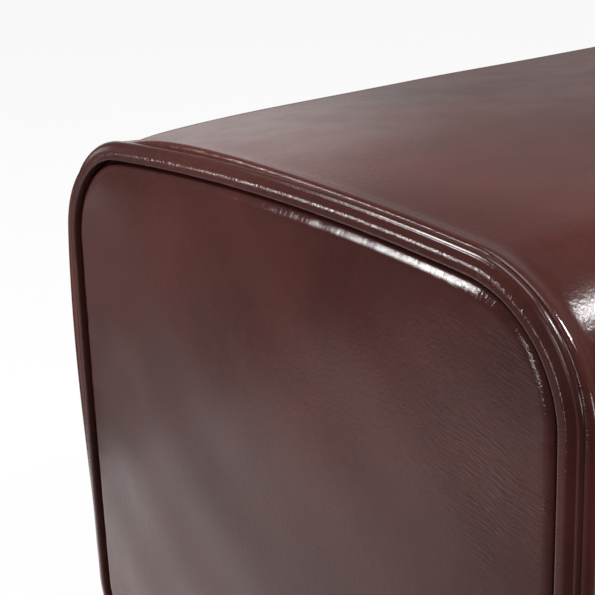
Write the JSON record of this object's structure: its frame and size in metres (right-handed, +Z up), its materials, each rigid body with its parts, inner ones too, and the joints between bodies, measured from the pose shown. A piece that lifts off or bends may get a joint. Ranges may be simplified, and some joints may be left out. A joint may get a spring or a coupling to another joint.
{
  "type": "leather bench",
  "caption": "Low upholstered box bench in glossy dark oxblood leather with rounded corners, domed end panels set in a welted groove, and short dark feet",
  "frame": {"origin": "on the floor under the middle of the bench", "axes": "+X along the bench, +Y to the back, +Z up; the end shown in the picture faces -X"},
  "size_m": [1.2196, 0.46, 0.46],
  "materials": {
    "oxblood_leather": "gloss",
    "filler": "matte",
    "wadding": "matte",
    "foam": "matte",
    "hessian": "matte",
    "dust_cover_cloth": "matte",
    "steel": "satin",
    "plywood": "matte",
    "pine": "matte",
    "beech": "matte",
    "hardboard": "matte",
    "dark_wood": "satin",
    "nylon": "matte"
  },
  "bodies": {
    "root": {"back_base_rail": "pine", "back_base_roll": "foam", "back_foam": "foam", "back_liner": "hardboard", "back_top_rail": "pine", "block_screws": "steel", "board_screws": "steel", "centre_rib": "plywood", "corner_blocks": "pine", "dowels": "beech", "dust_cover": "dust_cover_cloth", "dust_cover_staples": "steel", "foot_bolts": "steel", "foot_glides": "nylon", "foot_inserts": "steel", "front_base_rail": "pine", "front_base_roll": "foam", "front_foam": "foam", "front_liner": "hardboard", "front_top_rail": "pine", "glide_nails": "steel", "hem_staples": "steel", "hessian_deck": "hessian", "leather_wrap": "oxblood_leather", "left_back_foot": "dark_wood", "left_base_strip": "oxblood_leather", "left_cross_rail": "pine", "left_end_board": "plywood", "left_end_foam": "foam", "left_end_panel": "oxblood_leather", "left_end_wadding": "wadding", "left_front_foot": "dark_wood", "left_rib": "plywood", "left_welt": "oxblood_leather", "left_welt_core": "filler", "rib_screws": "steel", "right_back_foot": "dark_wood", "right_base_strip": "oxblood_leather", "right_cross_rail": "pine", "right_end_board": "plywood", "right_end_foam": "foam", "right_end_panel": "oxblood_leather", "right_end_wadding": "wadding", "right_front_foot": "dark_wood", "right_rib": "plywood", "right_welt": "oxblood_leather", "right_welt_core": "filler", "seat_foam": "foam", "seat_springs": "steel", "spring_clips": "steel", "tie_wires": "steel", "wadding_wrap": "wadding"}
  },
  "joints": []
}
